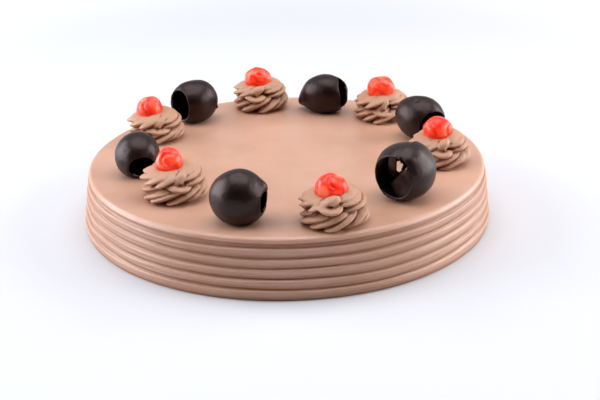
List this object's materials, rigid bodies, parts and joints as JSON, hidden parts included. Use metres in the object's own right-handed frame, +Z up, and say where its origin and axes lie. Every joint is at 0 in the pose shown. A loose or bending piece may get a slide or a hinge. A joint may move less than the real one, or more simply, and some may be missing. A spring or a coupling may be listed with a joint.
{
  "type": "round cream cake",
  "caption": "Round chocolate cream cake with a combed side, topped by piped swirls with glace cherries and hollow dark chocolate curls.",
  "frame": {"origin": "middle of the cake's flat base", "axes": "+Z up through the cake, +X to the right and -Y towards the front of the cake"},
  "size_m": [0.2692, 0.2692, 0.0731],
  "materials": {
    "cream_coating": "satin, pale milk-chocolate cream, combed on the side",
    "piped_cream": "satin, pale milk-chocolate cream, piped",
    "glace_cherry": "glossy and translucent, candied",
    "dark_chocolate": "satin sheen, nearly black brown"
  },
  "bodies": {
    "root": {"cake": "cream_coating", "rosette_1": "piped_cream", "rosette_2": "piped_cream", "rosette_3": "piped_cream", "rosette_4": "piped_cream", "rosette_5": "piped_cream", "rosette_6": "piped_cream", "cherry_1": "glace_cherry", "cherry_2": "glace_cherry", "cherry_3": "glace_cherry", "cherry_4": "glace_cherry", "cherry_5": "glace_cherry", "cherry_6": "glace_cherry", "chocolate_curl_1": "dark_chocolate", "chocolate_curl_2": "dark_chocolate", "chocolate_curl_3": "dark_chocolate", "chocolate_curl_4": "dark_chocolate", "chocolate_curl_5": "dark_chocolate", "chocolate_curl_6": "dark_chocolate"}
  },
  "joints": []
}
